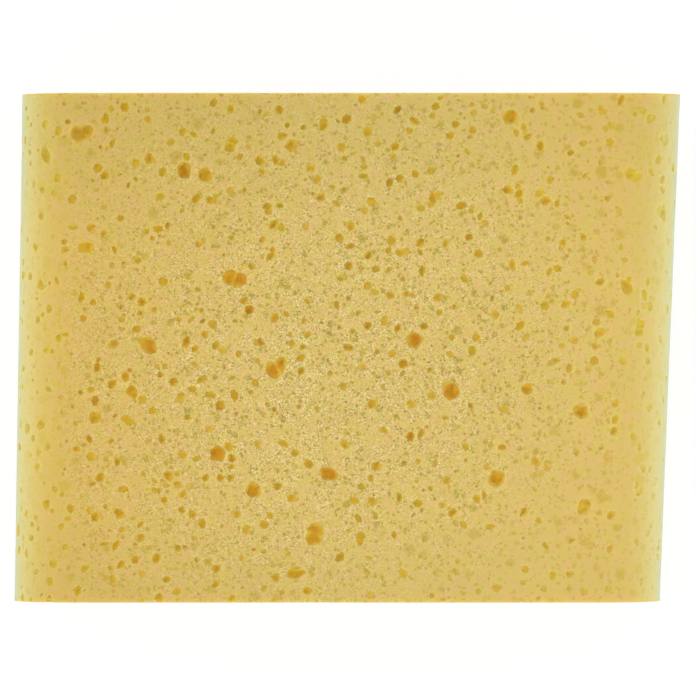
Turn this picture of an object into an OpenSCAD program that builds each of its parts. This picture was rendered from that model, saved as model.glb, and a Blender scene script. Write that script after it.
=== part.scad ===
// Cleaning sponge: one block of open-cell foam with two rounded long sides and two plain cut ends.
// It lies on one of its large faces. The origin is the centre of its bounding box on that resting face.
// +Z is up, X runs across the rounded sides and Y from one cut end to the other. All sizes are millimetres.

/* [Block] */
// Width across the rounded sides, halfway between the cut ends
block_w = 161; // [110:1:220]
// Depth from one cut end to the other
block_d = 125; // [80:1:180]
// Thickness, from the resting face to the upper face
block_t = 50; // [30:1:80]
// Radius where the long sides round over into the two large faces
side_r = 16; // [6:0.5:24]
// How far the left side is out of square with the cut ends, in degrees
left_lean = 0.9; // [-3:0.1:3]
// How far the right side is out of square with the cut ends, in degrees
right_lean = 2.3; // [-3:0.1:3]

/* [Small cells] */
// Side of the square of surface that each small cell has to itself on average
small_pitch = 11; // [9:0.5:20]
// Mouth radius of the smallest small cell
small_min_r = 0.8; // [0.6:0.05:1]
// Mouth radius of the largest small cell
small_max_r = 1.2; // [1:0.05:1.8]

/* [Large cells] */
// Side of the square of surface that each large cell has to itself on average
large_pitch = 17; // [14:0.5:40]
// Mouth radius of the smallest large cell
large_min_r = 1; // [0.8:0.05:1.3]
// Mouth radius of the largest large cell
large_max_r = 2; // [1.4:0.05:2.2]
// Share of the large cells that are two bubbles merged into one
merged_share = 0.4; // [0:0.05:1]

/* [All cells] */
// Radius of the bubble behind a cell's mouth, as a multiple of the mouth's radius
cell_bulge = 1.12; // [1.04:0.02:1.3]
// Least foam left between a cell and any other cell or face
cell_wall = 0.8; // [0.4:0.1:1.6]
// Seed of the scatter
cell_seed = 40; // [1:1:99]

/* [Hidden] */
$fn = 24;

half_w = block_w / 2;
half_d = block_d / 2;
half_t = block_t / 2;
// The two side radii leave a narrow flat between them even on a thin block.
edge_r = min(side_r, half_t - 1);

// Least and greatest distance between the two bubbles of a merged cell, as multiples of its mouth's radius.
merged_near = 0.7;
merged_far = 1.3;

// The two kinds of cell: [pitch, smallest mouth radius, largest mouth radius, share of merged cells].
LARGE = [large_pitch, large_min_r, large_max_r, merged_share];
SMALL = [small_pitch, small_min_r, small_max_r, 0];

// ---- the outline across the rounded sides, seen along Y ----

// One quarter of the outline: half of a large face, the rounded edge and half of a side.
face_run = half_w - edge_r;
edge_run = edge_r * PI / 2;
side_run = half_t - edge_r;
quarter_run = face_run + edge_run + side_run;

// Distance from the middle line to the side that x is on, at depth y.
function half_width(x, y) = half_w + y * (x < 0 ? -tan(left_lean) : tan(right_lean));

// How far the bounding box of the leaning block is off its middle line.
box_offset = half_d * (abs(tan(right_lean)) - abs(tan(left_lean))) / 2;

// Angle by which the outline has turned over at distance run from the middle of the large face.
function turn_at(run) = min(max((run - face_run) / edge_run, 0), 1) * 90;

// Point at distance run from the middle of the large face, at depth y, in the quarter that the signs name.
function outline_point(run, x_sign, z_sign, y) =
    let (
        turn = turn_at(run),
        flat_x = min(run / face_run, 1) * (half_width(x_sign, y) - edge_r),
        flat_z = min(quarter_run - run, side_run)
    )
    [x_sign * (flat_x + edge_r * sin(turn)), y, half_t + z_sign * (flat_z + edge_r * cos(turn))];

// How deep a point lies under the outline.
function outline_depth(point) =
    let (
        over_x = abs(point[0]) - half_width(point[0], point[1]) + edge_r,
        over_z = abs(point[2] - half_t) - half_t + edge_r
    )
    edge_r - (min(over_x, over_z) > 0 ? norm([over_x, over_z]) : max(over_x, over_z));

// ---- where cells go, each as [centre of its bubble, radius of its bubble, direction of its mouth] ----

// The bubble whose mouth has radius r, in a surface that faces outward.
function bubble(mouth, outward, r) =
    [mouth - outward * r * sqrt(pow(cell_bulge, 2) - 1), r * cell_bulge, outward];

// A mouth radius of this kind, small ones being the more common. The draw is from -1 to 1.
function mouth_r(draw, kind) = kind[1] + (kind[2] - kind[1]) * pow(draw, 2);

// Distance between the two bubbles of a merged cell, or 0 for a single one. The draw is from -1 to 1.
function merged_gap(draw, r, kind) =
    abs(draw) < kind[3] ? r * (merged_near + (merged_far - merged_near) * abs(draw) / kind[3]) : 0;

// Where a cell's bubbles lie along the line that joins them, measured from its middle.
function steps(gap) = gap > 0 ? [-gap / 2, gap / 2] : [0];

// Sets of five draws from -1 to 1, one set for each square of the kind's pitch that an area holds.
function draws(area, kind, seed) =
    let (count = floor(area / pow(kind[0], 2)), all = rands(-1, 1, 5 * count, seed))
    [for (i = [0 : 5 : 5 * count - 1]) [for (k = [0 : 4]) all[i + k]]];

// Cells all round one quarter of the outline, each as a list of its bubbles.
function quarter_cells(x_sign, z_sign, kind, seed) =
    [
        for (draw = draws(quarter_run * block_d, kind, seed))
        let (
            r = mouth_r(draw[1], kind),
            gap = merged_gap(draw[3], r, kind),
            run = (draw[0] + 1) / 2 * quarter_run,
            y = draw[2] * (half_d - gap / 2 - r * cell_bulge - cell_wall)
        )
        [
            for (step = steps(gap))
            let (
                there = run + step * cos(180 * draw[4]),
                outward = [x_sign * sin(turn_at(there)), 0, z_sign * cos(turn_at(there))]
            )
            bubble(outline_point(there, x_sign, z_sign, y + step * sin(180 * draw[4])), outward, r)
        ]
    ];

// Cells of the cut end on the side of y_sign, each as a list of its bubbles.
function end_cells(y_sign, kind, seed) =
    [
        for (draw = draws(block_w * block_t, kind, seed))
        let (
            r = mouth_r(draw[1], kind),
            y = y_sign * half_d,
            x = draw[0] * half_width(draw[0], y),
            cell = [
                for (step = steps(merged_gap(draw[3], r, kind)))
                let (across = step * cos(180 * draw[4]), up = step * sin(180 * draw[4]))
                bubble([x + across, y, half_t + draw[2] * half_t + up], [0, y_sign, 0], r)
            ]
        )
        if (min([for (hollow = cell) outline_depth(hollow[0]) - hollow[1]]) > cell_wall) cell
    ];

// Is there a wall of foam between every bubble of a cell and every one of the others?
function is_clear(cell, others) =
    len([
        for (hollow = cell, other = others)
        if (norm(hollow[0] - other[0]) < hollow[1] + other[1] + cell_wall) 1
    ]) == 0;

// The bubbles of those cells that are clear of the others and of every cell kept before them.
function keep_clear(cells, others, i = 0, kept = []) =
    i == len(cells) ? kept :
    keep_clear(
        cells, others, i + 1,
        is_clear(cells[i], [each others, each kept]) ? [each kept, each cells[i]] : kept
    );

// The large cells of a patch are laid out first, and each patch is laid out clear of the ones before it.
function quarter(x_sign, z_sign, seed, others) =
    keep_clear(
        [
            each quarter_cells(x_sign, z_sign, LARGE, seed),
            each quarter_cells(x_sign, z_sign, SMALL, seed + 1)
        ],
        others
    );
function end(y_sign, seed, others) =
    keep_clear([each end_cells(y_sign, LARGE, seed), each end_cells(y_sign, SMALL, seed + 1)], others);

UPPER_LEFT = quarter(-1, 1, cell_seed, []);
UPPER_RIGHT = quarter(1, 1, cell_seed + 2, UPPER_LEFT);
UPPER = [each UPPER_LEFT, each UPPER_RIGHT];
LOWER_LEFT = quarter(-1, -1, cell_seed + 4, UPPER);
LOWER_RIGHT = quarter(1, -1, cell_seed + 6, [each UPPER, each LOWER_LEFT]);
ALL_ROUND = [each UPPER, each LOWER_LEFT, each LOWER_RIGHT];
NEAR_END = end(-1, cell_seed + 8, ALL_ROUND);
FAR_END = end(1, cell_seed + 10, ALL_ROUND);

// ---- the block ----

// Section across one side, from past the middle line to the rounded edge.
module side_section() {
    translate([-half_w / 2, 0]) square([half_w / 2 + face_run, block_t]);
    translate([0, edge_r]) square([half_w, block_t - 2 * edge_r]);
    for (level = [edge_r, block_t - edge_r]) translate([face_run, level]) circle(edge_r, $fn = 96);
}

// One half of the block, turned about the middle of its side, so that the width there stays as given.
module side_block(lean) {
    translate([half_w, 0, 0]) rotate([0, 0, -lean]) translate([-half_w, 0, 0])
        rotate([90, 0, 0])
            linear_extrude(2 * block_d, center = true) side_section();
}

module block() {
    intersection() {
        union() {
            side_block(right_lean);
            mirror([1, 0, 0]) side_block(-left_lean);
        }
        translate([-block_w, -half_d, 0]) cube([2 * block_w, block_d, block_t]);
    }
}

// Bubbles, each with one pole turned to its mouth.
module hollows(cells) {
    for (cell = cells) {
        outward = cell[2];
        translate(cell[0]) rotate([0, acos(outward[2]), atan2(outward[1], outward[0])]) sphere(cell[1]);
    }
}

module sponge() {
    color("#D7BB6C")
        translate([-box_offset, 0, 0])
            difference() {
                block();
                hollows(UPPER_LEFT);
                hollows(UPPER_RIGHT);
                hollows(LOWER_LEFT);
                hollows(LOWER_RIGHT);
                hollows(NEAR_END);
                hollows(FAR_END);
            }
}

sponge();
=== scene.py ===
"""Cleaning sponge: the look of one block of open-cell foam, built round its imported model.

The block gets an uneven cut skin, pores of every size down to about a millimetre as true hollows,
and a foam finish for what is finer. Lengths are metres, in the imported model's own frame.
"""

import math
import random
from collections import defaultdict
from itertools import count, product

import bmesh
import bpy
import numpy as np
from bpy.props import FloatProperty, FloatVectorProperty, IntProperty, PointerProperty
from mathutils import Matrix, Vector, noise
from mathutils.bvhtree import BVHTree


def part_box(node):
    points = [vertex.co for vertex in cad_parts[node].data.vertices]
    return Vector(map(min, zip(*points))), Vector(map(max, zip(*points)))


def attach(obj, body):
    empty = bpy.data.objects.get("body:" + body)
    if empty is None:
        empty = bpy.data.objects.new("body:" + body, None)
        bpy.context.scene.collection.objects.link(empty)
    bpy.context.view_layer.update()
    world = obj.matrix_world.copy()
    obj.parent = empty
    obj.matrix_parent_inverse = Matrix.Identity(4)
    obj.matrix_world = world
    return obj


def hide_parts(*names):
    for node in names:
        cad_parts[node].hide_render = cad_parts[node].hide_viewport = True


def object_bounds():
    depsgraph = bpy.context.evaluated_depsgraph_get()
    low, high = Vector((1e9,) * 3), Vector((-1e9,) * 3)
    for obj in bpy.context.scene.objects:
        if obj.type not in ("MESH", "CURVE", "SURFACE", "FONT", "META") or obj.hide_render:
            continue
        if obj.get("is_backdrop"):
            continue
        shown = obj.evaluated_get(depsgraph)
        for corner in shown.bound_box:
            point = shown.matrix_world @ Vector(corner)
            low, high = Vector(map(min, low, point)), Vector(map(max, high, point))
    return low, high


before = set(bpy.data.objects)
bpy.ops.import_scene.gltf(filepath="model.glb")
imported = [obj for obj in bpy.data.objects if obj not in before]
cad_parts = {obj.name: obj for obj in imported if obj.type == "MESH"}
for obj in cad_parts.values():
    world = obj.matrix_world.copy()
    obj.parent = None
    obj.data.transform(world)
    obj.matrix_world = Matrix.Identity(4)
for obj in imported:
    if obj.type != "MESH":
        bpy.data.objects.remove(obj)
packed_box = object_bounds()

bl_info = {
    "name": "Cleaning sponge",
    "version": (1, 0, 0),
    "blender": (4, 5, 0),
    "location": "3D View > Sidebar > Sponge",
    "description": "Builds a block of open-cell foam and a plain studio for it",
    "category": "Add Mesh",
}

MM = 0.001
SPONGE_NODE = "sponge"
# Two places or sizes that differ by less than this count as the same.
CLOSE = 0.01 * MM
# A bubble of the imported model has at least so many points, and its radius is under this.
BUBBLE_POINTS = 12
BUBBLE_LIMIT = 4 * MM
# Side of the squares that the skin is cut into before it is made uneven.
SKIN_STEP = 5 * MM
# Side of the cubes that pores are sorted into: mouths that touch are never more than one cube apart.
NEAR_REACH = 6 * MM
# The higher this is, the more of the fine pores are close to the smallest size.
FINE_BIAS = 2.5
# A fine pore that leaves less foam than this to its neighbour stays only where it may run into it.
FINE_WALL = 0.1 * MM
# Faces that meet at more degrees than this keep a sharp edge between them.
SHARP_ANGLE = 38
# Places on the block, seen from above: where its texture is at its clearest, where it has the most grain
# and where the painted shade that darkens and warms the foam toward the far left is least.
CLEAREST = (-32 * MM, 22 * MM)
GRAINIEST = (-8 * MM, -8 * MM)
LEAST_SHADED = (30 * MM, -12 * MM)
# Toward the near right corner the foam turns calm: from this far from its clearest place, over this far
# again, and with a fine pore's ball lifted out by this share of its radius in the end.
CALM_FROM = 70 * MM
CALM_OVER = 56 * MM
CALM_LIFT = 0.74
# A pore with a mouth radius under the first size is all fine, and one over the second isn't fine at all.
FINE_RADIUS = 1.1 * MM
COARSE_RADIUS = 2.1 * MM
# How many stretches a hollow has around its mouth and from one pole to the other.
PATTERNS = {"large": (18, 11), "medium": (8, 6), "small": (6, 5), "least": (5, 3)}
# Largest mouth radius of a packed bubble with the medium pattern, and of a fine pore with the least one.
MEDIUM_RADIUS = 1.3 * MM
LEAST_RADIUS = 0.7 * MM
# How far the floor reaches on each side.
FLOOR_REACH = 3.0
# Side of each lamp and how far it stands from the block.
LAMP_SIZE = 1.0
LAMP_DISTANCE = 2.0


# ---- what a user would change ----


class FoamShape(bpy.types.PropertyGroup):
    """Sizes of the foam's skin and pores."""

    unevenness: FloatProperty(
        name="Unevenness",
        description="How far the cut skin wanders in and out",
        default=0.12 * MM,
        min=0.0,
        unit="LENGTH",
    )
    fine_pitch: FloatProperty(
        name="Fine pore pitch",
        description="Side of the square of skin that each fine pore has to itself on average",
        default=3.7 * MM,
        min=3 * MM,
        unit="LENGTH",
    )
    fine_min: FloatProperty(
        name="Smallest fine pore",
        description="Mouth radius of the smallest pore that is a true hollow",
        default=0.45 * MM,
        min=0.3 * MM,
        unit="LENGTH",
    )
    fine_max: FloatProperty(
        name="Largest fine pore",
        description="Mouth radius of the largest pore that the packed model leaves out",
        default=1.35 * MM,
        min=0.5 * MM,
        unit="LENGTH",
    )
    flare: FloatProperty(
        name="Flare",
        description="How much wider a large pore is at its mouth than below it, as a share of its radius",
        default=0.12,
        min=0.0,
        max=0.5,
        subtype="FACTOR",
    )
    growth: FloatProperty(
        name="Growth",
        description="How much wider a smaller pore is than its place allows for, as a share of its radius",
        default=0.16,
        min=0.0,
        max=0.5,
        subtype="FACTOR",
    )
    dished: FloatProperty(
        name="Dished",
        description="How far a smaller pore's ball is lifted out at most, as a share of its radius",
        default=0.72,
        min=0.0,
        max=0.9,
        subtype="FACTOR",
    )
    merging: FloatProperty(
        name="Merging",
        description="Share of the fine pores that may run into another pore",
        default=0.3,
        min=0.0,
        max=1.0,
        subtype="FACTOR",
    )
    stretch: FloatProperty(
        name="Stretch",
        description="How far a pore may be longer one way and narrower the other, as a share of its radius",
        default=0.26,
        min=0.0,
        max=1.0,
        subtype="FACTOR",
    )
    waviness: FloatProperty(
        name="Wavy walls",
        description="How far a pore's wall strays from a smooth oval, as a share of its radius",
        default=0.24,
        min=0.0,
        max=0.5,
        subtype="FACTOR",
    )
    seed: IntProperty(name="Seed", description="Seed of everything random in the foam", default=11)


def shade(name, description, default):
    """A colour that a user may change."""
    return FloatVectorProperty(
        name=name,
        description=description,
        default=default,
        subtype="COLOR",
        size=3,
        min=0.0,
        max=1.0,
    )


class FoamFinish(bpy.types.PropertyGroup):
    """Colours of the foam."""

    sandy: shade("Sandy skin", "Colour of the cut skin in its warmer patches", (0.80, 0.578, 0.205))
    green: shade("Greenish skin", "Colour of the cut skin in its cooler patches", (0.77, 0.60, 0.16))
    # Painted light: the pale, cool glow of the rounded sides, put into the skin's colour there.
    side_glow_skin: shade(
        "Side skin",
        "Colour that the skin takes on where it rounds over to the sides",
        (0.80, 0.70, 0.27),
    )
    # Painted light and shade: the dimples toward the sides take the colour that this glow and their own
    # shade give them.
    side_glow_dimple: shade(
        "Side dimple",
        "Colour of the shallow dimples toward the sides",
        (0.755, 0.62, 0.135),
    )
    side_pore: shade(
        "Side pore",
        "Colour of the pore walls toward the sides, where light comes through",
        (0.82, 0.645, 0.07),
    )
    # Painted shade: the foam is made darker and cooler next to the two cut ends, most on the left.
    end_shade: shade(
        "End tint",
        "What the foam's colours are multiplied by next to the two cut ends",
        (0.93, 0.965, 1.0),
    )
    # The dimples stand for fine pores that have no hollow: their colour is partly the foam's own and partly
    # painted shade of the hollow.
    dimple: shade(
        "Dimple",
        "Colour of the shallow dimples that are finer than any pore",
        (0.53, 0.395, 0.05),
    )
    pale_dimple: shade(
        "Pale dimple",
        "Colour of the same dimples far from the middle",
        (0.69, 0.485, 0.078),
    )
    # Painted shade: pore walls take these colours the deeper they lie, so they turn darker and more orange
    # than the skin; amber and olive differ at random.
    amber: shade(
        "Amber pore",
        "Colour of the walls just under the skin in the warmer pores",
        (0.85, 0.56, 0.045),
    )
    olive: shade(
        "Olive pore",
        "Colour of the walls just under the skin in the cooler pores",
        (0.79, 0.56, 0.045),
    )
    glowing: shade(
        "Glowing pore",
        "Colour of the walls far from the middle, where more light comes through the foam",
        (0.895, 0.61, 0.037),
    )
    # Painted shade: the colour of a wall deep down in a pore.
    deep: shade("Deep pore", "Colour of the walls deep inside a pore", (0.88, 0.45, 0.02))
    # Painted shade: the foam is made darker and warmer away from a place right of the middle, most at the
    # far left; it hasn't yellowed there.
    far_left_shade: shade(
        "Aged foam",
        "What the foam's colours are multiplied by where it has yellowed most, at the far left",
        (0.955, 0.91, 0.79),
    )
    speck: shade("Speck", "Colour of the few pinholes that go deep", (0.46, 0.22, 0.02))
    dark_grain: shade("Dark grain", "Colour of the finest openings in the skin", (0.36, 0.27, 0.06))
    light_grain: shade(
        "Light grain",
        "Colour of the finest raised threads of the skin",
        (0.98, 0.86, 0.50),
    )


class StudioSetup(bpy.types.PropertyGroup):
    """Camera, lamps and floor."""

    width: FloatProperty(
        name="Picture width",
        description="Width of what the picture takes in, at the height of the upper face",
        default=170.4 * MM,
        min=50 * MM,
        unit="LENGTH",
    )
    aim: FloatVectorProperty(
        name="Aim",
        description="How far right of and beyond the block's middle the camera looks",
        default=(0.17 * MM, -0.06 * MM),
        size=2,
        subtype="XYZ_LENGTH",
    )
    lens: FloatProperty(
        name="Lens",
        description="Focal length of the camera",
        default=400.0,
        min=20.0,
        unit="CAMERA",
    )
    fill: FloatProperty(
        name="Fill light",
        description="Strength of the light that comes evenly from all round",
        default=0.785,
        min=0.0,
    )
    key: FloatProperty(
        name="Key light",
        description="Power of the soft lamp above the left side",
        default=8.0,
        min=0.0,
        unit="POWER",
    )
    side: FloatProperty(
        name="Side light",
        description="Power of the soft lamp low on the right",
        default=7.8,
        min=0.0,
        unit="POWER",
    )


# ---- the block's skin ----


def frame_mesh_arrays(mesh):
    """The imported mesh's corner points and triangles as arrays."""
    points = np.empty(len(mesh.vertices) * 3)
    mesh.vertices.foreach_get("co", points)
    corners = np.empty(len(mesh.polygons) * 3, dtype=np.int64)
    mesh.polygons.foreach_get("vertices", corners)
    return points.reshape(-1, 3), corners.reshape(-1, 3)


def islands(point_count, ends):
    """A label for each point, the same for all points that edges join. ends has each edge's two points."""
    label = np.arange(point_count)
    while True:
        lowest = np.minimum(label[ends[:, 0]], label[ends[:, 1]])
        before = label.copy()
        np.minimum.at(label, ends[:, 0], lowest)
        np.minimum.at(label, ends[:, 1], lowest)
        label = label[label]
        if (label == before).all():
            return label


def fitted_sphere(points):
    """Centre and radius of the sphere that fits the points best, and the worst miss."""
    middle = points.mean(axis=0)
    local = points - middle
    columns = np.column_stack((2 * local, np.ones(len(local))))
    answer = np.linalg.lstsq(columns, (local**2).sum(axis=1), rcond=None)[0]
    radius = math.sqrt(max(answer[3] + (answer[:3] ** 2).sum(), 0.0))
    miss = np.abs(np.linalg.norm(local - answer[:3], axis=1) - radius).max()
    return middle + answer[:3], radius, miss


def packed_cells():
    """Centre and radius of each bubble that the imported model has."""
    points, triangles = frame_mesh_arrays(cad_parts[SPONGE_NODE].data)
    label = islands(len(points), np.concatenate((triangles[:, :2], triangles[:, 1:])))
    order = np.argsort(label, kind="stable")
    starts = np.flatnonzero(np.diff(label[order], prepend=-1))
    cells = []
    for group in np.split(order, starts[1:]):
        if len(group) < BUBBLE_POINTS or np.ptp(points[group], axis=0).max() > 2 * BUBBLE_LIMIT:
            continue
        centre, radius, miss = fitted_sphere(points[group])
        if miss < CLOSE and radius < BUBBLE_LIMIT:
            cells.append((Vector(centre), radius))
    return cells


def corner_places():
    """How far each side reaches at each cut end, and the radius of the rounded sides."""
    low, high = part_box(SPONGE_NODE)
    points, _ = frame_mesh_arrays(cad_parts[SPONGE_NODE].data)
    reach = {}
    for end, depth in ((-1, low.y), (1, high.y)):
        across = points[np.abs(points[:, 1] - depth) < CLOSE, 0]
        reach[-1, end] = across.min()
        reach[1, end] = across.max()
    upper = points[(np.abs(points[:, 1] - high.y) < CLOSE) & (points[:, 2] > high.z - CLOSE), 0]
    return reach, reach[1, 1] - upper.max()


def even_cuts(bm, low, high, step):
    """Cuts the whole mesh into even stretches along each axis."""
    for axis in range(3):
        normal = Vector((0, 0, 0))
        normal[axis] = 1
        stretches = max(1, round((high[axis] - low[axis]) / step))
        for index in range(1, stretches):
            place = normal * (low[axis] + (high[axis] - low[axis]) * index / stretches)
            everything = bm.verts[:] + bm.edges[:] + bm.faces[:]
            bmesh.ops.bisect_plane(bm, geom=everything, plane_co=place, plane_no=normal)


def lean_to(bm, reach, low, high):
    """Moves each point across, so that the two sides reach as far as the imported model's do at each end."""
    middle = (low + high) / 2
    half_width = (high.x - low.x) / 2
    for vert in bm.verts:
        side = 1 if vert.co.x > middle.x else -1
        share = (vert.co.y - low.y) / (high.y - low.y)
        edge = reach[side, -1] + (reach[side, 1] - reach[side, -1]) * share
        centre = sum(reach.values()) / 4
        vert.co.x = centre + (edge - centre) * abs(vert.co.x - middle.x) / half_width


def corners(face):
    """The corners of a face, in an order that doesn't hang on how it was made."""
    return sorted(vert.co.to_tuple(7) for vert in face.verts)


def put_in_order(bm):
    """Sorts the faces by place, because they don't come in the same order each time the block is made."""
    rank = {face: number for number, face in enumerate(sorted(bm.faces, key=corners))}
    bm.faces.sort(key=rank.get)
    bm.faces.index_update()
    bm.normal_update()


def skin_block(shape):
    """The foam block before it has any pore."""
    low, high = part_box(SPONGE_NODE)
    reach, radius = corner_places()
    bm = bmesh.new()
    bmesh.ops.create_cube(bm, size=1.0)
    bmesh.ops.scale(bm, verts=bm.verts, vec=high - low)
    bmesh.ops.translate(bm, verts=bm.verts, vec=(high + low) / 2)
    long_edges = [e for e in bm.edges if abs(e.verts[0].co.y - e.verts[1].co.y) > radius]
    bmesh.ops.bevel(
        bm, geom=long_edges, offset=radius, segments=10, profile=0.5, affect="EDGES", material=-1
    )
    even_cuts(bm, low, high, SKIN_STEP)
    lean_to(bm, reach, low, high)
    bm.normal_update()
    for vert in bm.verts:
        swell = noise.noise(vert.co / (14 * MM)) + 0.5 * noise.noise(vert.co / (6 * MM))
        inward = 0.75 + 0.5 * swell
        vert.co -= vert.normal * shape.unevenness * inward
    bmesh.ops.triangulate(bm, faces=bm.faces, quad_method="SHORT_EDGE", ngon_method="BEAUTY")
    put_in_order(bm)
    return bm


# ---- pores ----


class PoreList:
    """Pores sorted into layers, so that no two of one layer touch."""

    def __init__(self, square):
        self.square = square
        self.near = defaultdict(list)
        self.layers = defaultdict(list)

    def neighbours(self, place):
        """Pores whose mouths may touch one at place."""
        base = [math.floor(value / self.square) for value in place]
        steps = (-1, 0, 1)
        for i, j, k in product(steps, steps, steps):
            yield from self.near[base[0] + i, base[1] + j, base[2] + k]

    def gap(self, place, radius):
        """Least foam between a mouth at place and any other one."""
        gaps = [(p - place).length - r - radius for p, r, _ in self.neighbours(place)]
        return min(gaps, default=math.inf)

    def add(self, place, radius, **facts):
        """Puts a pore into the first layer in which it touches no other."""
        taken = {
            layer for p, r, layer in self.neighbours(place) if (p - place).length < (r + radius) * 1.5
        }
        layer = next(number for number in count() if number not in taken)
        key = tuple(math.floor(value / self.square) for value in place)
        self.near[key].append((place, radius, layer))
        self.layers[layer].append({"place": place, "radius": radius, **facts})


def round_pattern(around, down):
    """Points and triangles of a ball of radius 1 whose poles are on Z."""
    bm = bmesh.new()
    bmesh.ops.create_uvsphere(bm, u_segments=around, v_segments=down, radius=1.0)
    bmesh.ops.triangulate(bm, faces=bm.faces)
    points = [vert.co.copy() for vert in bm.verts]
    triangles = [[vert.index for vert in face.verts] for face in bm.faces]
    bm.free()
    return points, triangles


def calmness(place):
    """How calm the foam is at a place, from 0 in the clearest part to 1 at the near right corner."""
    return min(max((math.dist(place.xy, CLEAREST) - CALM_FROM) / CALM_OVER, 0.0), 1.0)


def pore_points(pore, ball, shape, rng):
    """The points of one wavy oval hollow: the smaller its mouth, the more it is a shallow dish."""
    longer = 1 + shape.stretch * rng.random() ** 2
    fineness = (COARSE_RADIUS - pore["radius"]) / (COARSE_RADIUS - FINE_RADIUS)
    fineness = min(max(fineness, 0.0), 1.0)
    lift = shape.dished * fineness * rng.uniform(0.3, 1.0)
    lift += (CALM_LIFT - lift) * fineness * calmness(pore["place"])
    radius = pore["radius"] * (1 + shape.growth * fineness) / math.sqrt(1 - lift**2)
    sizes = Matrix.Diagonal((longer, 1 / longer, rng.uniform(0.7, 1.1))) * radius
    turn = Matrix.Rotation(rng.uniform(0, math.tau), 3, "Z")
    place = pore["outward"].to_track_quat("Z", "Y").to_matrix() @ turn @ sizes
    drift = Vector((rng.uniform(0, 50), rng.uniform(0, 50), rng.uniform(0, 50)))
    for point in ball:
        wave = noise.noise(point * 1.3 + drift) + 0.5 * noise.noise(point * 3.1 + drift)
        high = point.z + lift
        wider = 1 + shape.flare * (1 - fineness) * math.exp(-((high / 0.35) ** 2))
        shaped = Vector((point.x * wider, point.y * wider, point.z)) * (1 + shape.waviness * wave)
        yield pore["place"] + place @ (shaped + Vector((0, 0, lift)))


def skin_samples(bm, number, rng):
    """Points spread by chance over the skin, each with its outward direction."""
    faces = bm.faces[:]
    areas = np.cumsum([face.calc_area() for face in faces])
    for _ in range(number):
        face = faces[min(int(np.searchsorted(areas, rng.uniform(0, areas[-1]))), len(faces) - 1)]
        corner, first, second = [Vector(place) for place in corners(face)]
        u, v = rng.random(), rng.random()
        if u + v > 1:
            u, v = 1 - u, 1 - v
        yield corner + (first - corner) * u + (second - corner) * v, face.normal.copy()


def find_pores(bm, tree, shape, rng):
    """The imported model's cells and the fine pores between them, in layers."""
    pores = PoreList(NEAR_REACH)
    for centre, radius in packed_cells():
        place, outward, _, sunk = tree.find_nearest(centre)
        mouth = math.sqrt(max(radius**2 - sunk**2, (0.5 * radius) ** 2))
        pattern = "large" if mouth > MEDIUM_RADIUS else "medium"
        pores.add(place, mouth, outward=outward, pattern=pattern)
    area = sum(face.calc_area() for face in bm.faces)
    for place, outward in skin_samples(bm, round(area / shape.fine_pitch**2), rng):
        mouth = shape.fine_min + (shape.fine_max - shape.fine_min) * rng.random() ** FINE_BIAS
        if pores.gap(place, mouth) > FINE_WALL or rng.random() < shape.merging:
            pattern = "small" if mouth > LEAST_RADIUS else "least"
            pores.add(place, mouth, outward=outward, pattern=pattern)
    return pores


def cutter(name, layer, shape, rng):
    """One object that holds all the hollows of a layer."""
    patterns = {kind: round_pattern(*counts) for kind, counts in PATTERNS.items()}
    points = []
    triangles = []
    for pore in layer:
        ball, ball_triangles = patterns[pore["pattern"]]
        first = len(points)
        points.extend(pore_points(pore, ball, shape, rng))
        triangles.extend([first + corner for corner in triangle] for triangle in ball_triangles)
    mesh = bpy.data.meshes.new(name)
    mesh.from_pydata(points, [], triangles)
    made = bpy.data.objects.new(name, mesh)
    bpy.context.collection.objects.link(made)
    return made


def as_object(name, bm):
    """Turns a bmesh into an object in the scene."""
    mesh = bpy.data.meshes.new(name)
    bm.to_mesh(mesh)
    bm.free()
    made = bpy.data.objects.new(name, mesh)
    bpy.context.collection.objects.link(made)
    return made


def cut_with(block, cutters):
    """Takes the cutters out of the block for good."""
    for tool in cutters:
        cut = block.modifiers.new(tool.name, "BOOLEAN")
        cut.operation = "DIFFERENCE"
        cut.solver = "MANIFOLD"
        cut.object = tool
    depsgraph = bpy.context.evaluated_depsgraph_get()
    solid = bpy.data.meshes.new_from_object(block.evaluated_get(depsgraph))
    block.modifiers.clear()
    block.data = solid
    drop_crumbs(solid)
    for tool in cutters:
        bpy.data.objects.remove(tool)


def drop_crumbs(mesh):
    """Removes loose bits that crossing hollows leave behind."""
    ends = np.empty(len(mesh.edges) * 2, dtype=np.int64)
    mesh.edges.foreach_get("vertices", ends)
    label = islands(len(mesh.vertices), ends.reshape(-1, 2))
    names, sizes = np.unique(label, return_counts=True)
    crumbs = np.flatnonzero(label != names[sizes.argmax()])
    bm = bmesh.new()
    bm.from_mesh(mesh)
    bm.verts.ensure_lookup_table()
    bmesh.ops.delete(bm, geom=[bm.verts[index] for index in crumbs], context="VERTS")
    bm.to_mesh(mesh)
    bm.free()


def store_depth(mesh, tree):
    """Keeps at each point how deep it lies under the skin, in millimetres."""
    depth = mesh.attributes.new("pore_depth", "FLOAT", "POINT")
    values = [tree.find_nearest(vert.co)[3] / MM for vert in mesh.vertices]
    depth.data.foreach_set("value", values)


def make_sponge(shape, finish):
    """The whole sponge as one piece."""
    rng = random.Random(shape.seed)
    bm = skin_block(shape)
    tree = BVHTree.FromBMesh(bm)
    pores = find_pores(bm, tree, shape, rng)
    cutters = [
        cutter(f"hollows_{number}", layer, shape, rng) for number, layer in sorted(pores.layers.items())
    ]
    sponge = as_object("foam_block", bm)
    cut_with(sponge, cutters)
    store_depth(sponge.data, tree)
    sponge.data.shade_smooth()
    sponge.data.set_sharp_from_angle(angle=math.radians(SHARP_ANGLE))
    sponge.data.materials.clear()
    sponge.data.materials.append(foam_material(finish))
    return sponge


# ---- finishes ----


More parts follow.
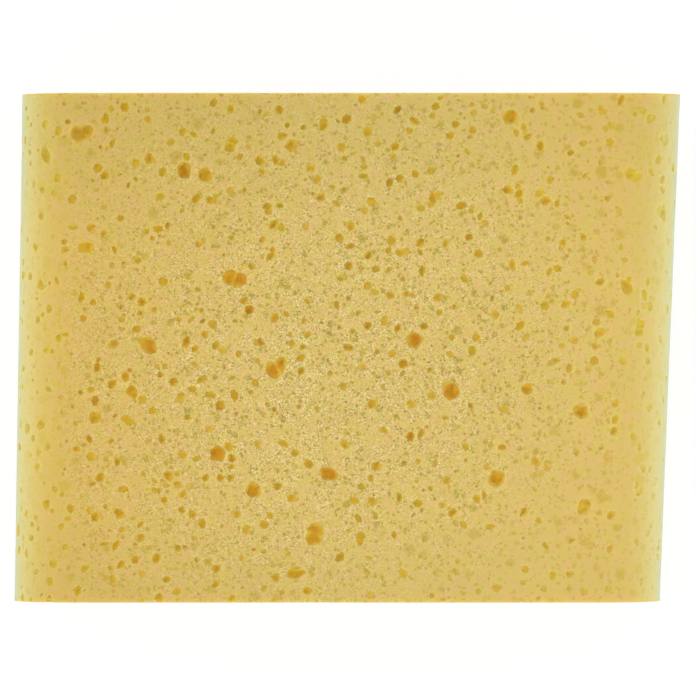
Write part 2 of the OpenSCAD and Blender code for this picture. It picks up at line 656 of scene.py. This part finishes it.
class NodeSheet:
    """A material's nodes, added and joined in a few words."""

    def __init__(self, material):
        material.use_nodes = True
        self.tree = material.node_tree
        self.tree.nodes.clear()

    def add(self, kind, inputs=None, **settings):
        """A new node. inputs gives a value or another node's output for each named or numbered socket."""
        node = self.tree.nodes.new(kind)
        for name, value in settings.items():
            setattr(node, name, value)
        for name, value in (inputs or {}).items():
            if isinstance(value, bpy.types.NodeSocket):
                self.tree.links.new(value, node.inputs[name])
            else:
                node.inputs[name].default_value = value
        return node

    def math(self, operation, first, second=0.0, third=0.0):
        """The result of a sum, product or other operation on numbers."""
        made = self.add("ShaderNodeMath", {0: first, 1: second, 2: third}, operation=operation)
        return made.outputs[0]

    def ramp(self, value, low, high, to_low=0.0, to_high=1.0):
        """A value that runs smoothly from to_low to to_high between low and high."""
        made = self.add(
            "ShaderNodeMapRange",
            {"Value": value, "From Min": low, "From Max": high, "To Min": to_low, "To Max": to_high},
            interpolation_type="SMOOTHSTEP",
        )
        return made.outputs["Result"]

    def mix(self, factor, first, second, blend="MIX"):
        """One colour laid over another."""
        inputs = {0: factor, 6: first, 7: second}
        made = self.add("ShaderNodeMix", inputs, data_type="RGBA", blend_type=blend)
        return made.outputs[2]

    def noise(self, vector, size, detail=2.0, roughness=0.5):
        """Soft noise whose patches are about size across."""
        made = self.add(
            "ShaderNodeTexNoise",
            {"Vector": vector, "Scale": 1 / size, "Detail": detail, "Roughness": roughness},
        )
        return made.outputs["Fac"]

    def warped(self, vector, size, reach):
        """Places pushed about by noise whose patches are about size across, by up to half of reach."""
        push = self.add("ShaderNodeTexNoise", {"Vector": vector, "Scale": 1 / size, "Detail": 1.0})
        centred = self.add(
            "ShaderNodeVectorMath", {0: push.outputs["Color"], 1: (0.5, 0.5, 0.5)}, operation="SUBTRACT"
        )
        made = self.add(
            "ShaderNodeVectorMath",
            {0: centred.outputs[0], 1: (reach, reach, reach), 2: vector},
            operation="MULTIPLY_ADD",
        )
        return made.outputs[0]

    def distance(self, vector, centre):
        """How far a place is from an upright line that stands at centre."""
        flat = self.add("ShaderNodeVectorMath", {0: vector, 1: (1, 1, 0)}, operation="MULTIPLY")
        made = self.add(
            "ShaderNodeVectorMath", {0: flat.outputs[0], 1: (*centre, 0)}, operation="DISTANCE"
        )
        return made.outputs["Value"]

    def cells(self, vector, size):
        """Distance from the middle of the nearest cell, in cells, and a random number for that cell."""
        made = self.add("ShaderNodeTexVoronoi", {"Vector": vector, "Scale": 1 / size})
        number = self.add("ShaderNodeSeparateColor", {"Color": made.outputs["Color"]})
        return made.outputs["Distance"], number.outputs[0]


def colour(rgb):
    """A colour as a socket takes it."""
    return (*rgb, 1.0)


def foam_material(finish):
    """Foam: a grainy cut skin with pinholes, and pore walls with painted shade that makes them darker and
    more orange with depth.
    """
    material = bpy.data.materials.new("foam")
    sheet = NodeSheet(material)
    place = sheet.add("ShaderNodeTexCoord").outputs["Object"]
    depth = sheet.add("ShaderNodeAttribute", attribute_name="pore_depth").outputs["Fac"]
    axes = sheet.add("ShaderNodeSeparateXYZ", {0: place})
    across = sheet.math("ABSOLUTE", axes.outputs["X"])
    half = packed_box[1].z / 2
    off_middle = sheet.math("ABSOLUTE", sheet.math("SUBTRACT", axes.outputs["Z"], half))
    # Where the skin has turned over to a rounded side, but not on the cut ends.
    turned = sheet.ramp(off_middle, half - 0.4 * MM, half - 8 * MM)
    turned = sheet.math("MULTIPLY", turned, sheet.ramp(across, 58 * MM, 64 * MM))
    to_end = sheet.math("MULTIPLY_ADD", depth, MM, sheet.math("ABSOLUTE", axes.outputs["Y"]))
    end = packed_box[1].y
    off_ends = sheet.ramp(to_end, end - 0.9 * MM, end - 0.35 * MM, 1.0, 0.0)
    turned = sheet.math("MULTIPLY", turned, off_ends)
    rim = sheet.math("MULTIPLY", sheet.ramp(across, 63 * MM, 75 * MM), off_ends)
    rim = sheet.math("MULTIPLY", rim, sheet.math("MULTIPLY_ADD", turned, -0.7, 1.0))
    middle = sheet.ramp(sheet.distance(place, GRAINIEST), 0.0, 118 * MM, 1.0, 0.0)
    middle = sheet.math("MULTIPLY", middle, sheet.ramp(across, 66 * MM, 75 * MM, 1.0, 0.0))
    outer = sheet.ramp(sheet.distance(place, (0.0, 0.0)), 25 * MM, 80 * MM)
    clear = sheet.ramp(sheet.distance(place, CLEAREST), 66 * MM, 120 * MM, 1.0, 0.2)
    on_skin = sheet.ramp(depth, 0.0, 0.2, 1.0, 0.0)

    patches = sheet.noise(place, 2.6 * MM, 3.0, 0.6)
    base = sheet.mix(sheet.ramp(patches, 0.36, 0.64), colour(finish.sandy), colour(finish.green))

    # Fine pores without a hollow, as darker dimples: partly the foam's own colour, partly painted shade in
    # the hollow.
    dimples = []
    uneven = sheet.warped(place, 1.3 * MM, 1.4 * MM)
    for pitch, least in ((3.9, 0.05), (2.6, 0.05), (1.8, 0.08), (1.3, 0.1)):
        gap, number = sheet.cells(uneven, pitch * MM)
        size = sheet.math("MULTIPLY_ADD", number, 0.24, least)
        dimples.append(sheet.ramp(sheet.math("SUBTRACT", gap, size), -0.14, 0.07, 1.0, 0.0))
    dimple = sheet.math("MAXIMUM", sheet.math("MAXIMUM", *dimples[:2]), sheet.math("MAXIMUM", *dimples[2:]))
    dimple = sheet.math("MULTIPLY", dimple, sheet.ramp(clear, 0.0, 0.9, 0.7, 1.0))
    # Wide soft ones lie toward the outside.
    gap, number = sheet.cells(uneven, 5.2 * MM)
    size = sheet.math("MULTIPLY_ADD", number, 0.26, 0.08)
    wide = sheet.ramp(sheet.math("SUBTRACT", gap, size), -0.16, 0.06, 1.0, 0.0)
    dimple = sheet.math("MAXIMUM", dimple, sheet.math("MULTIPLY", wide, outer))
    dimple = sheet.math("MULTIPLY", dimple, on_skin)
    base = sheet.mix(dimple, base, sheet.mix(outer, colour(finish.dimple), colour(finish.pale_dimple)))

    grain = sheet.noise(place, 0.36 * MM, 2.0, 0.8)
    clusters = sheet.noise(place, 3 * MM, 2.0)
    crisp = sheet.math("MULTIPLY", middle, sheet.ramp(clusters, 0.38, 0.6, 0.7, 1.75))
    crisp = sheet.math("MULTIPLY", crisp, clear)
    dark = sheet.math("MULTIPLY", sheet.ramp(grain, 0.47, 0.28), crisp)
    light = sheet.math("MULTIPLY", sheet.ramp(grain, 0.5, 0.68), crisp)
    base = sheet.mix(sheet.math("MULTIPLY", dark, 0.78), base, colour(finish.dark_grain))
    base = sheet.mix(sheet.math("MULTIPLY", light, 0.64), base, colour(finish.light_grain))

    tone = sheet.ramp(sheet.noise(place, 2.2 * MM, 2.0), 0.42, 0.58)
    walls = sheet.mix(tone, colour(finish.amber), colour(finish.olive))
    walls = sheet.mix(outer, walls, colour(finish.glowing))
    open_side = sheet.math("MULTIPLY_ADD", turned, -0.55, 1.0)
    open_side = sheet.math("MULTIPLY", open_side, sheet.math("MULTIPLY_ADD", clear, 0.25, 0.75))
    # Painted shade in the pores: the walls turn darker and more orange with depth under the skin, less so on
    # the rounded sides.
    under_skin = sheet.math("MULTIPLY", sheet.ramp(depth, 0.0, 0.45), open_side)
    deep_down = sheet.math("MULTIPLY", sheet.ramp(depth, 0.5, 1.5), open_side)
    deep_down = sheet.math("MULTIPLY", deep_down, sheet.math("MULTIPLY_ADD", outer, -0.5, 1.0))
    base = sheet.mix(under_skin, base, walls)
    base = sheet.mix(deep_down, base, colour(finish.deep))

    gap, number = sheet.cells(place, 2.4 * MM)
    size = sheet.math("MULTIPLY", number, 0.12)
    pinhole = sheet.ramp(sheet.math("SUBTRACT", gap, size), -0.05, 0.02, 1.0, 0.0)
    base = sheet.mix(sheet.math("MULTIPLY", pinhole, middle), base, colour(finish.speck))
    mottle = sheet.ramp(sheet.noise(place, 0.7 * MM, 2.0, 0.7), 0.35, 0.65, 0.22, 0.0)
    mottle = sheet.math("MULTIPLY", mottle, sheet.ramp(depth, 0.02, 0.2))
    base = sheet.mix(mottle, base, colour(finish.dark_grain))

    # Painted light on the rounded sides: the skin, the dimples and the pore walls there turn paler and
    # brighter, for the glow of light through the foam.
    base = sheet.mix(sheet.math("MULTIPLY", turned, 0.7), base, colour(finish.side_glow_skin))
    base = sheet.mix(sheet.math("MULTIPLY", dimple, rim), base, colour(finish.side_glow_dimple))
    lit = sheet.math("MULTIPLY", sheet.ramp(depth, 0.05, 0.4), rim)
    base = sheet.mix(lit, base, colour(finish.side_pore))
    # Painted shade next to the two cut ends, strongest on the left part of the block.
    along = sheet.math("ABSOLUTE", sheet.math("ADD", axes.outputs["Y"], 8 * MM))
    left_part = sheet.ramp(axes.outputs["X"], 15 * MM, 65 * MM, 1.0, 0.35)
    near_end_shade = sheet.math("MULTIPLY", sheet.ramp(along, 25 * MM, 70 * MM), left_part)
    base = sheet.mix(near_end_shade, base, colour(finish.end_shade), "MULTIPLY")
    # Painted shade that darkens and warms the foam toward the far left.
    far_left_shade_mask = sheet.ramp(sheet.distance(place, LEAST_SHADED), 35 * MM, 125 * MM)
    base = sheet.mix(far_left_shade_mask, base, colour(finish.far_left_shade), "MULTIPLY")

    height = sheet.math("MULTIPLY", grain, crisp)
    bump = sheet.add("ShaderNodeBump", {"Height": height, "Strength": 0.4, "Distance": 0.25 * MM})
    foam = sheet.add(
        "ShaderNodeBsdfPrincipled",
        {
            "Base Color": base,
            "Roughness": 0.95,
            "Specular IOR Level": 0.2,
            "Sheen Weight": 0.8,
            "Sheen Roughness": 0.42,
            "Sheen Tint": colour((0.55, 0.95, 1.0)),
            "Subsurface Weight": 1.0,
            "Subsurface Radius": (1.0, 0.75, 0.4),
            "Subsurface Scale": 2.5 * MM,
            "Normal": bump.outputs["Normal"],
        },
    )
    sheet.add("ShaderNodeOutputMaterial", {"Surface": foam.outputs[0]})
    return material


def floor_material():
    """A pale studio floor: it looks white, takes a light shadow and shows in gloss as it looks."""
    material = bpy.data.materials.new("studio_floor")
    sheet = NodeSheet(material)
    paint = sheet.add("ShaderNodeBsdfDiffuse", {"Color": colour((0.9, 0.9, 0.9))})
    white = sheet.add("ShaderNodeEmission", {"Color": colour((1.0, 1.0, 1.0)), "Strength": 1.08})
    ray = sheet.add("ShaderNodeLightPath")
    seen = sheet.math("MAXIMUM", ray.outputs["Is Camera Ray"], ray.outputs["Is Glossy Ray"])
    seen = sheet.math("MAXIMUM", seen, ray.outputs["Is Transmission Ray"])
    share = sheet.math("MULTIPLY", seen, 0.8)
    both = sheet.add("ShaderNodeMixShader", {0: share, 1: paint.outputs[0], 2: white.outputs[0]})
    sheet.add("ShaderNodeOutputMaterial", {"Surface": both.outputs[0]})
    return material


# ---- the studio ----


def make_floor():
    """A wide plain floor under the sponge."""
    bm = bmesh.new()
    bmesh.ops.create_grid(bm, x_segments=1, y_segments=1, size=FLOOR_REACH)
    floor = as_object("studio_floor", bm)
    floor.data.materials.append(floor_material())
    return floor


def make_camera(setup):
    """A camera straight above the middle of the block."""
    low, high = packed_box
    lens = bpy.data.cameras.new("camera")
    lens.lens = setup.lens
    camera = bpy.data.objects.new("camera", lens)
    bpy.context.collection.objects.link(camera)
    distance = setup.width * setup.lens / lens.sensor_width
    middle = (low + high) / 2
    camera.location = (middle.x + setup.aim[0], middle.y + setup.aim[1], high.z + distance)
    bpy.context.scene.camera = camera


def make_lamp(name, toward, power):
    """A square soft lamp that shines on the block from the direction toward."""
    lamp = bpy.data.lights.new(name, "AREA")
    lamp.energy = power
    lamp.size = LAMP_SIZE
    made = bpy.data.objects.new(name, lamp)
    bpy.context.collection.objects.link(made)
    toward = Vector(toward).normalized()
    made.location = toward * LAMP_DISTANCE
    made.rotation_euler = toward.to_track_quat("Z", "Y").to_euler()


def make_light(setup):
    """Even light from all round, a wide soft lamp beyond the left side and a low one on the right."""
    world = bpy.data.worlds.new("studio")
    world.use_nodes = True
    background = world.node_tree.nodes["Background"]
    background.inputs["Color"].default_value = (1.0, 1.0, 1.0, 1.0)
    background.inputs["Strength"].default_value = setup.fill
    bpy.context.scene.world = world
    make_lamp("key_lamp", (-0.8, 0.15, 0.6), setup.key)
    make_lamp("side_lamp", (0.8, -0.6, 0.4), setup.side)


# ---- operators, panel and start ----


class SPONGE_OT_foam_block(bpy.types.Operator):
    """Build the foam block with its pores and finish"""

    bl_idname = "sponge.foam_block"
    bl_label = "Foam block"

    def execute(self, context):
        sponge = make_sponge(context.scene.foam_shape, context.scene.foam_finish)
        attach(sponge, "root")
        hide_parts(SPONGE_NODE)
        return {"FINISHED"}


class SPONGE_OT_studio(bpy.types.Operator):
    """Build the floor, the camera and the light"""

    bl_idname = "sponge.studio"
    bl_label = "Studio"

    def execute(self, context):
        setup = context.scene.studio_setup
        make_floor()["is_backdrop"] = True
        make_camera(setup)
        make_light(setup)
        context.scene.view_settings.view_transform = "Standard"
        return {"FINISHED"}


class SPONGE_PT_panel(bpy.types.Panel):
    """The sponge's sizes, colours and steps"""

    bl_idname = "SPONGE_PT_panel"
    bl_label = "Cleaning sponge"
    bl_space_type = "VIEW_3D"
    bl_region_type = "UI"
    bl_category = "Sponge"

    def draw(self, context):
        scene = context.scene
        for group in (scene.foam_shape, scene.foam_finish, scene.studio_setup):
            box = self.layout.box()
            for name in group.bl_rna.properties.keys():
                if name not in ("rna_type", "name"):
                    box.prop(group, name)
        self.layout.operator(SPONGE_OT_foam_block.bl_idname)
        self.layout.operator(SPONGE_OT_studio.bl_idname)


CLASSES = (FoamShape, FoamFinish, StudioSetup, SPONGE_OT_foam_block, SPONGE_OT_studio, SPONGE_PT_panel)


def register():
    for cls in CLASSES:
        bpy.utils.register_class(cls)
    bpy.types.Scene.foam_shape = PointerProperty(type=FoamShape)
    bpy.types.Scene.foam_finish = PointerProperty(type=FoamFinish)
    bpy.types.Scene.studio_setup = PointerProperty(type=StudioSetup)


def unregister():
    del bpy.types.Scene.studio_setup
    del bpy.types.Scene.foam_finish
    del bpy.types.Scene.foam_shape
    for cls in reversed(CLASSES):
        bpy.utils.unregister_class(cls)


def main():
    """Builds everything."""
    register()
    bpy.ops.sponge.foam_block()
    bpy.ops.sponge.studio()
    boxes = {"packed": packed_box, "shown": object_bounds()}
    {name: [list(corner) for corner in box] for name, box in boxes.items()}


if __name__ == "__main__":
    main()
